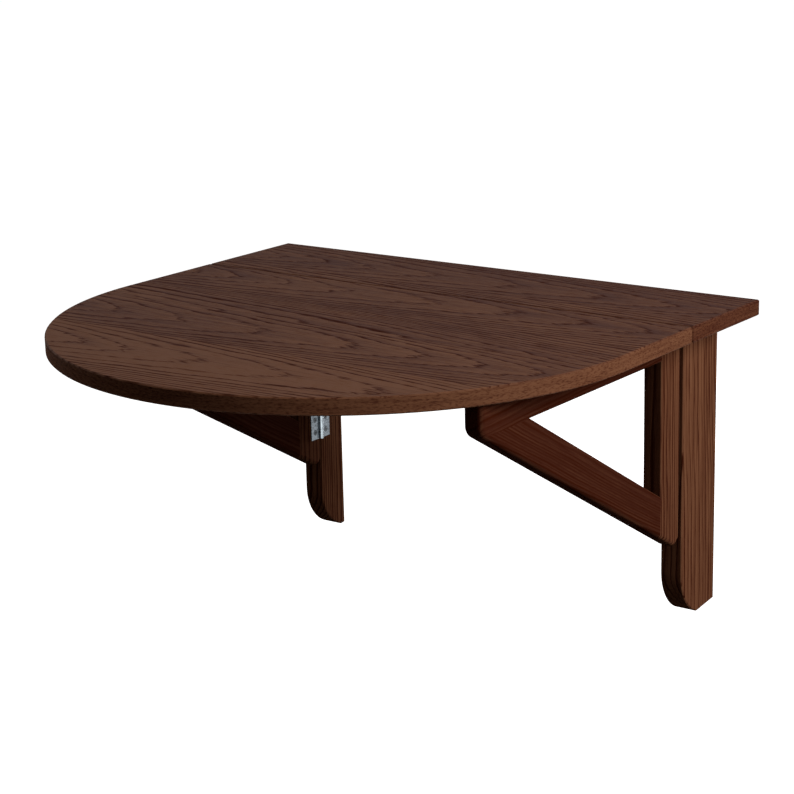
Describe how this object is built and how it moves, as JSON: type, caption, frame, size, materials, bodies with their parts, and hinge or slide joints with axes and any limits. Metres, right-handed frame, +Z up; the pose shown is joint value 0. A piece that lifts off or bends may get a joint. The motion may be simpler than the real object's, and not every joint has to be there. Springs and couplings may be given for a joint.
{
  "type": "wall mounted drop leaf table",
  "caption": "Wall mounted drop leaf table: a fixed shelf, a D-shaped hinged leaf and triangular brackets that swing out from posts and fold in against the wall.",
  "frame": {"origin": "on the wall, midway along the line of wall screws in the back rail", "axes": "+X to the right for someone who faces the wall, -Y out from the wall, +Z up"},
  "size_m": [0.8, 0.7549, 0.4363],
  "materials": {
    "top_wood": "satin brown stain",
    "frame_wood": "satin brown stain",
    "zinc_plate": "zinc plated",
    "pin_steel": "bright"
  },
  "bodies": {
    "wall_frame": {"wall_shelf": "top_wood", "back_rail": "frame_wood", "left_post": "frame_wood", "right_post": "frame_wood", "left_upper_hinge_post_plate": "zinc_plate", "left_upper_hinge_pin": "pin_steel", "left_lower_hinge_post_plate": "zinc_plate", "left_lower_hinge_pin": "pin_steel", "right_upper_hinge_post_plate": "zinc_plate", "right_upper_hinge_pin": "pin_steel", "right_lower_hinge_post_plate": "zinc_plate", "right_lower_hinge_pin": "pin_steel", "left_leaf_hinge_shelf_plate": "zinc_plate", "left_leaf_hinge_pin": "pin_steel", "right_leaf_hinge_shelf_plate": "zinc_plate", "right_leaf_hinge_pin": "pin_steel"},
    "drop_leaf": {"drop_leaf": "top_wood", "left_leaf_hinge_leaf_plate": "zinc_plate", "right_leaf_hinge_leaf_plate": "zinc_plate"},
    "left_bracket": {"left_bracket_stile": "frame_wood", "left_bracket_rail": "frame_wood", "left_bracket_brace": "frame_wood", "left_upper_hinge_bracket_plate": "zinc_plate", "left_lower_hinge_bracket_plate": "zinc_plate"},
    "right_bracket": {"right_bracket_stile": "frame_wood", "right_bracket_rail": "frame_wood", "right_bracket_brace": "frame_wood", "right_upper_hinge_bracket_plate": "zinc_plate", "right_lower_hinge_bracket_plate": "zinc_plate"}
  },
  "joints": [
    {"name": "left_bracket_swing", "type": "hinge", "parent": "wall_frame", "child": "left_bracket", "pos_m": [-0.3038, -0.054, 0], "axis": [0, 0, 1], "range_deg": [0, 90]},
    {"name": "right_bracket_swing", "type": "hinge", "parent": "wall_frame", "child": "right_bracket", "pos_m": [0.3038, -0.093, 0], "axis": [0, 0, -1], "range_deg": [0, 90]},
    {"name": "leaf_lift", "type": "hinge", "parent": "wall_frame", "child": "drop_leaf", "pos_m": [0, -0.18275, 0.0332], "axis": [-1, 0, 0], "range_deg": [0, 4]}
  ]
}
